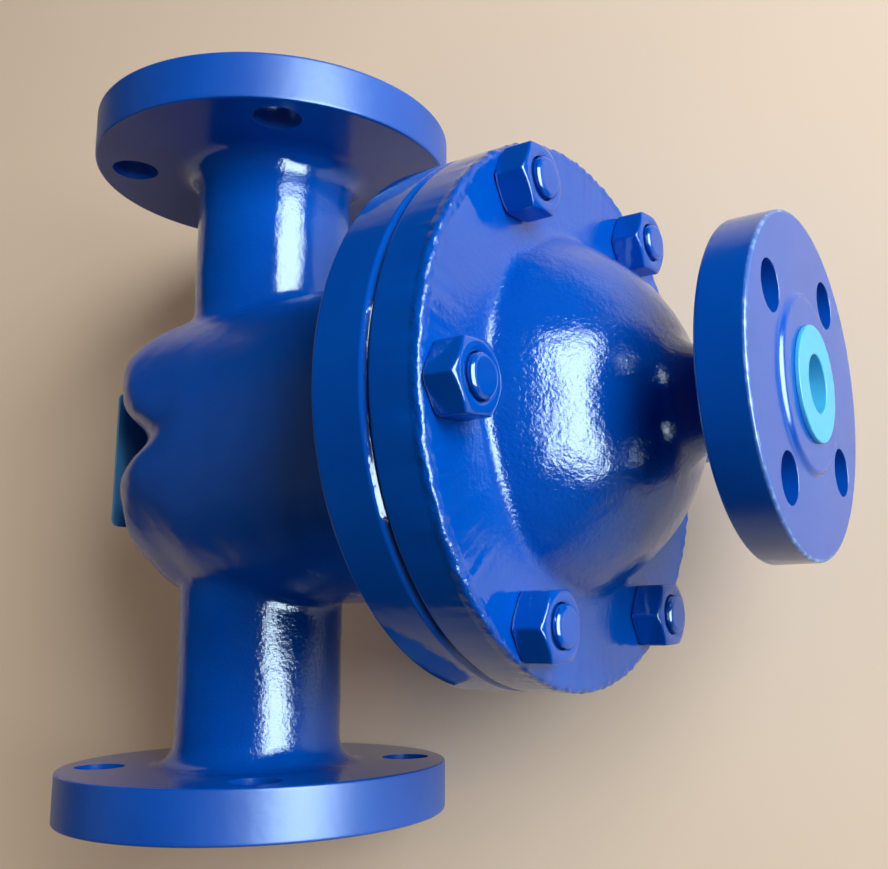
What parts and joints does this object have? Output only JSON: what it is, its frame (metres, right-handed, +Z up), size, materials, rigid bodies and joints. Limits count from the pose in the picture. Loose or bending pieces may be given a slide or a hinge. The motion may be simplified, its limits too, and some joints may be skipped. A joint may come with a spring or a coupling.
{
  "type": "steam separator",
  "caption": "Flanged baffle-type steam separator: a cast body folded in over the pipe to form a baffle, with a domed sump cover on studs and a flanged drain.",
  "frame": {"origin": "on the floor, below the middle of the whole, as it lies on its pipe flanges and its body flange", "axes": "+Z up; X along the pipe, +X towards the outlet; -Y towards the drain, which is raised about 9 degrees"},
  "size_m": [0.292, 0.3146, 0.1952],
  "materials": {
    "casting_enamel": "gloss enamel over a sand casting",
    "fastener_enamel": "gloss enamel brushed over plated steel",
    "gasket_sheet": "matt fibre sheet",
    "plug_plastic": "moulded polyethylene",
    "plate_enamel": "enamelled plate, bare of print",
    "rivet_aluminium": "satin"
  },
  "bodies": {
    "root": {"body": "casting_enamel", "cover": "casting_enamel", "cover_gasket": "gasket_sheet", "cover_studs": "fastener_enamel", "cover_nuts": "fastener_enamel", "drain_plug": "plug_plastic", "nameplate": "plate_enamel", "nameplate_rivets": "rivet_aluminium"}
  },
  "joints": []
}
